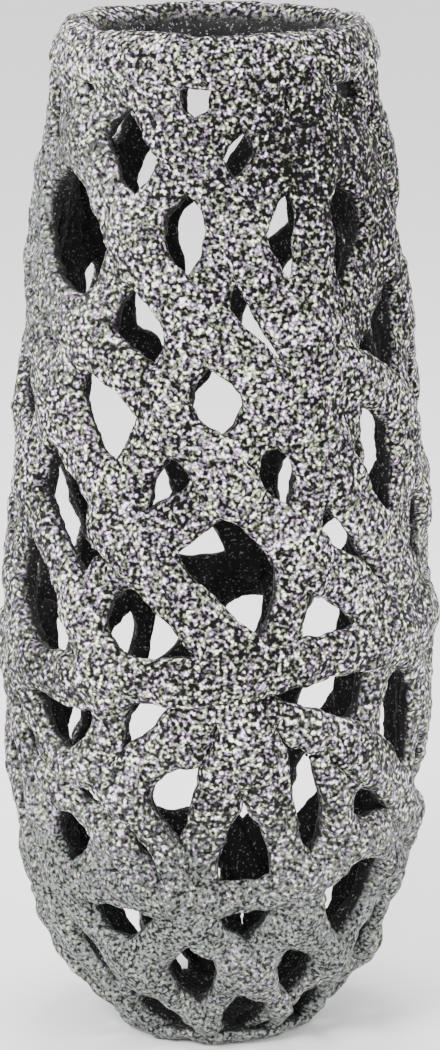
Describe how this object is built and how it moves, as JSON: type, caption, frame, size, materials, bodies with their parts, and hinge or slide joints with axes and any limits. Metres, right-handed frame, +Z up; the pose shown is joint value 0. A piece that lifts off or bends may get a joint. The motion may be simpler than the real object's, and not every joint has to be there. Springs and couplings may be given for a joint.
{
  "type": "openwork clay vase",
  "caption": "Tall egg-shaped openwork vase of black clay: straps laid in a crossing lattice, with hoops, a plain collar and a thick rolled rim.",
  "frame": {"origin": "middle of the flat foot", "axes": "+Z up along the axis of the vase, -Y towards the front"},
  "size_m": [0.1752, 0.175, 0.4],
  "materials": {
    "black_clay": "unglazed black clay with a coarse glittering grain, satin, paler where it is rubbed",
    "black_clay_inner": "unglazed black clay with a coarse grain, duller and darker inside the wall"
  },
  "bodies": {
    "root": {"foot": "black_clay", "inner_strap_lower_01": "black_clay_inner", "inner_strap_lower_02": "black_clay_inner", "inner_strap_lower_03": "black_clay_inner", "inner_strap_lower_04": "black_clay_inner", "inner_strap_lower_05": "black_clay_inner", "inner_strap_lower_06": "black_clay_inner", "inner_strap_lower_07": "black_clay_inner", "inner_strap_lower_08": "black_clay_inner", "inner_strap_lower_09": "black_clay_inner", "inner_strap_lower_10": "black_clay_inner", "inner_strap_lower_11": "black_clay_inner", "inner_strap_lower_12": "black_clay_inner", "inner_strap_lower_13": "black_clay_inner", "outer_strap_lower_01": "black_clay", "outer_strap_lower_02": "black_clay", "outer_strap_lower_03": "black_clay", "outer_strap_lower_04": "black_clay", "outer_strap_lower_05": "black_clay", "outer_strap_lower_06": "black_clay", "outer_strap_lower_07": "black_clay", "outer_strap_lower_08": "black_clay", "outer_strap_lower_09": "black_clay", "outer_strap_lower_10": "black_clay", "outer_strap_lower_11": "black_clay", "outer_strap_lower_12": "black_clay", "outer_strap_lower_13": "black_clay", "outer_strap_lower_14": "black_clay", "inner_strap_upper_01": "black_clay_inner", "inner_strap_upper_02": "black_clay_inner", "inner_strap_upper_03": "black_clay_inner", "inner_strap_upper_04": "black_clay_inner", "inner_strap_upper_05": "black_clay_inner", "inner_strap_upper_06": "black_clay_inner", "inner_strap_upper_07": "black_clay_inner", "inner_strap_upper_08": "black_clay_inner", "inner_strap_upper_09": "black_clay_inner", "inner_strap_upper_10": "black_clay_inner", "inner_strap_upper_11": "black_clay_inner", "inner_strap_upper_12": "black_clay_inner", "outer_strap_upper_01": "black_clay", "outer_strap_upper_02": "black_clay", "outer_strap_upper_03": "black_clay", "outer_strap_upper_04": "black_clay", "outer_strap_upper_05": "black_clay", "outer_strap_upper_06": "black_clay", "outer_strap_upper_07": "black_clay", "outer_strap_upper_08": "black_clay", "outer_strap_upper_09": "black_clay", "outer_strap_upper_10": "black_clay", "outer_strap_upper_11": "black_clay", "upright": "black_clay", "belt_hoop": "black_clay", "lower_hoop": "black_clay", "collar": "black_clay", "rolled_rim": "black_clay"}
  },
  "joints": []
}
